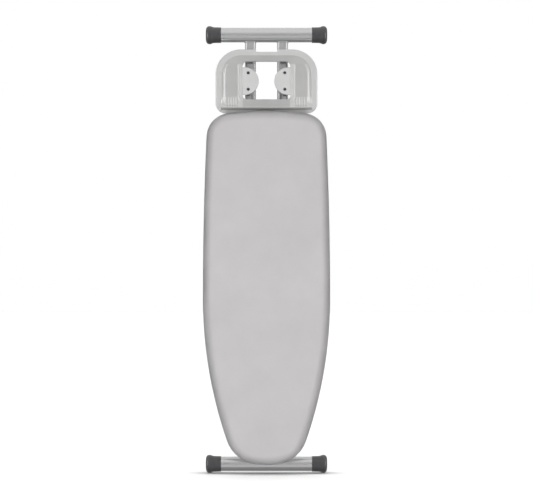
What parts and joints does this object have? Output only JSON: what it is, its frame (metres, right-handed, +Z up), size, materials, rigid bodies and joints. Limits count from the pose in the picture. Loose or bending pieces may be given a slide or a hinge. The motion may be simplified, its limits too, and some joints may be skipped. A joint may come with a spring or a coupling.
{
  "type": "ironing board",
  "caption": "Folding ironing board stored upright: padded tapered top, iron rest at the heel, crossed tube legs with capped foot bars, height lever underneath.",
  "frame": {"origin": "on the floor under the middle of the bounding box, the board folded and standing upright on its lower foot bar", "axes": "+Z up along the board from nose to heel, +X to the right seen from the ironing face, +Y from the ironing face to the legs"},
  "size_m": [0.432, 0.087, 1.52],
  "materials": {
    "cover_cloth": "matte",
    "foam": "matte",
    "light_plastic": "satin",
    "silver_paint": "satin",
    "grey_paint": "satin",
    "bright_steel": "satin",
    "dark_plastic": "satin",
    "black_plastic": "satin"
  },
  "bodies": {
    "table": {"cover": "cover_cloth", "foam_pad": "foam", "top_panel": "grey_paint", "rim_frame": "grey_paint", "cross_bar_nose": "grey_paint", "cross_bar_middle": "grey_paint", "cross_bar_heel": "grey_paint", "slide_rail_left": "bright_steel", "slide_rail_right": "bright_steel", "hinge_bracket_left": "bright_steel", "hinge_bracket_right": "bright_steel", "hinge_pin_left": "bright_steel", "hinge_pin_right": "bright_steel", "iron_rest": "light_plastic", "rest_bracket_left": "bright_steel", "rest_bracket_right": "bright_steel", "rest_screws": "bright_steel", "rest_nuts": "bright_steel", "rivets": "bright_steel", "lever_bracket_inner": "bright_steel", "lever_bracket_outer": "bright_steel", "lever_spring": "bright_steel"},
    "outer_leg": {"outer_leg_tube_left": "silver_paint", "outer_leg_tube_right": "silver_paint", "tube_end_plug_left": "dark_plastic", "tube_end_plug_right": "dark_plastic", "outer_foot_tube": "silver_paint", "outer_foot_cap_left": "dark_plastic", "outer_foot_cap_right": "dark_plastic", "hinge_bush_left": "black_plastic", "hinge_bush_right": "black_plastic", "cross_bush_left": "black_plastic", "cross_bush_right": "black_plastic", "cross_bolt": "bright_steel", "cross_nut": "bright_steel", "cross_washers": "bright_steel", "cross_spacer_left": "black_plastic", "cross_spacer_right": "black_plastic"},
    "inner_leg": {"inner_leg_tube": "silver_paint", "inner_foot_tube": "silver_paint", "inner_foot_cap_left": "dark_plastic", "inner_foot_cap_right": "dark_plastic", "inner_cross_bush": "black_plastic", "slide_bush": "black_plastic"},
    "carriage": {"slide_yoke": "bright_steel", "slide_axle": "bright_steel", "slide_block_left": "black_plastic", "slide_block_right": "black_plastic", "toothed_bar": "bright_steel"},
    "height_lever": {"lever_shaft": "bright_steel", "pawl": "bright_steel", "lever_grip": "black_plastic"}
  },
  "joints": [
    {"name": "fold", "type": "hinge", "parent": "table", "child": "outer_leg", "pos_m": [0, 0.0125, 0.379], "axis": [-1, 0, 0], "range_deg": [0, 50]},
    {"name": "leg_cross", "type": "hinge", "parent": "outer_leg", "child": "inner_leg", "pos_m": [0, 0.0125, 0.76], "axis": [1, 0, 0], "range_deg": [0, 100]},
    {"name": "carriage_turn", "type": "hinge", "parent": "inner_leg", "child": "carriage", "pos_m": [0, 0.0125, 1.141], "axis": [-1, 0, 0], "range_deg": [0, 50]},
    {"name": "lever_squeeze", "type": "hinge", "parent": "table", "child": "height_lever", "pos_m": [0, -0.0245, 0.824], "axis": [-1, 0, 0], "range_deg": [-7, 10], "stiffness_Nm_per_rad": 1.2, "springref_deg": -12}
  ],
  "couplings": [
    {"joint": "leg_cross", "follows": "fold", "ratio": 2},
    {"joint": "carriage_turn", "follows": "fold", "ratio": 1}
  ]
}
